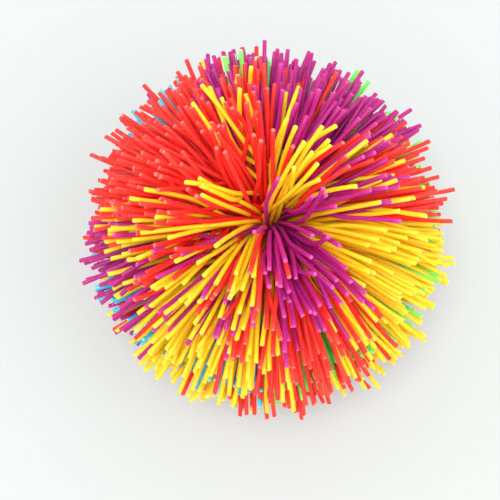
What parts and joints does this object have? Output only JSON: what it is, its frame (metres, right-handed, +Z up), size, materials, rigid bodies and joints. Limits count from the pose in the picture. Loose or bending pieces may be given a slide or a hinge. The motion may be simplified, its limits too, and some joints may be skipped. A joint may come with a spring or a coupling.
{
  "type": "squeeze ball of rubber strands",
  "caption": "Soft squeeze ball of bright rubber strands that fan out of a hidden binding ring in bunches of one colour; its two sides press inwards and spring back.",
  "frame": {"origin": "on the table, under the middle of the ball", "axes": "+Z up along the ring's bore, +X to the ball's right side, which is one of the two sides that press in"},
  "size_m": [0.1027, 0.1033, 0.0986],
  "materials": {
    "red_rubber": "satin",
    "yellow_rubber": "satin",
    "purple_rubber": "satin",
    "green_rubber": "satin",
    "blue_rubber": "satin",
    "ring_steel": "satin"
  },
  "bodies": {
    "middle": {"binding_ring": "ring_steel", "crown_skein_1_yellow": "yellow_rubber", "crown_skein_2_red": "red_rubber", "crown_skein_3_yellow": "yellow_rubber", "crown_skein_4_purple": "purple_rubber"},
    "right_side": {"shoulder_skein_1_purple": "purple_rubber", "shoulder_skein_2_purple": "purple_rubber", "shoulder_skein_7_purple": "purple_rubber", "shoulder_skein_8_yellow": "yellow_rubber", "side_skein_1_red": "red_rubber", "side_skein_2_purple": "purple_rubber", "side_skein_3_purple": "purple_rubber", "side_skein_10_red": "red_rubber", "side_skein_11_yellow": "yellow_rubber", "side_skein_12_yellow": "yellow_rubber", "rim_skein_1_green": "green_rubber", "rim_skein_2_green": "green_rubber", "rim_skein_7_green": "green_rubber", "rim_skein_8_green": "green_rubber"},
    "left_side": {"shoulder_skein_3_red": "red_rubber", "shoulder_skein_4_red": "red_rubber", "shoulder_skein_5_yellow": "yellow_rubber", "shoulder_skein_6_yellow": "yellow_rubber", "side_skein_4_purple": "purple_rubber", "side_skein_5_red": "red_rubber", "side_skein_6_red": "red_rubber", "side_skein_7_purple": "purple_rubber", "side_skein_8_yellow": "yellow_rubber", "side_skein_9_yellow": "yellow_rubber", "rim_skein_3_blue": "blue_rubber", "rim_skein_4_blue": "blue_rubber", "rim_skein_5_blue": "blue_rubber", "rim_skein_6_blue": "blue_rubber"}
  },
  "joints": [
    {"name": "right_squeeze", "type": "slide", "parent": "middle", "child": "right_side", "axis": [-1, 0, 0], "range_m": [0, 0.02], "stiffness_N_per_m": 150, "deforming": ["shoulder_skein_1_purple", "shoulder_skein_2_purple", "shoulder_skein_7_purple", "shoulder_skein_8_yellow", "side_skein_1_red", "side_skein_2_purple", "side_skein_3_purple", "side_skein_10_red", "side_skein_11_yellow", "side_skein_12_yellow", "rim_skein_1_green", "rim_skein_2_green", "rim_skein_7_green", "rim_skein_8_green"]},
    {"name": "left_squeeze", "type": "slide", "parent": "middle", "child": "left_side", "axis": [1, 0, 0], "range_m": [0, 0.02], "stiffness_N_per_m": 150, "deforming": ["shoulder_skein_3_red", "shoulder_skein_4_red", "shoulder_skein_5_yellow", "shoulder_skein_6_yellow", "side_skein_4_purple", "side_skein_5_red", "side_skein_6_red", "side_skein_7_purple", "side_skein_8_yellow", "side_skein_9_yellow", "rim_skein_3_blue", "rim_skein_4_blue", "rim_skein_5_blue", "rim_skein_6_blue"]}
  ],
  "couplings": [
    {"joint": "left_squeeze", "follows": "right_squeeze", "ratio": 1}
  ]
}
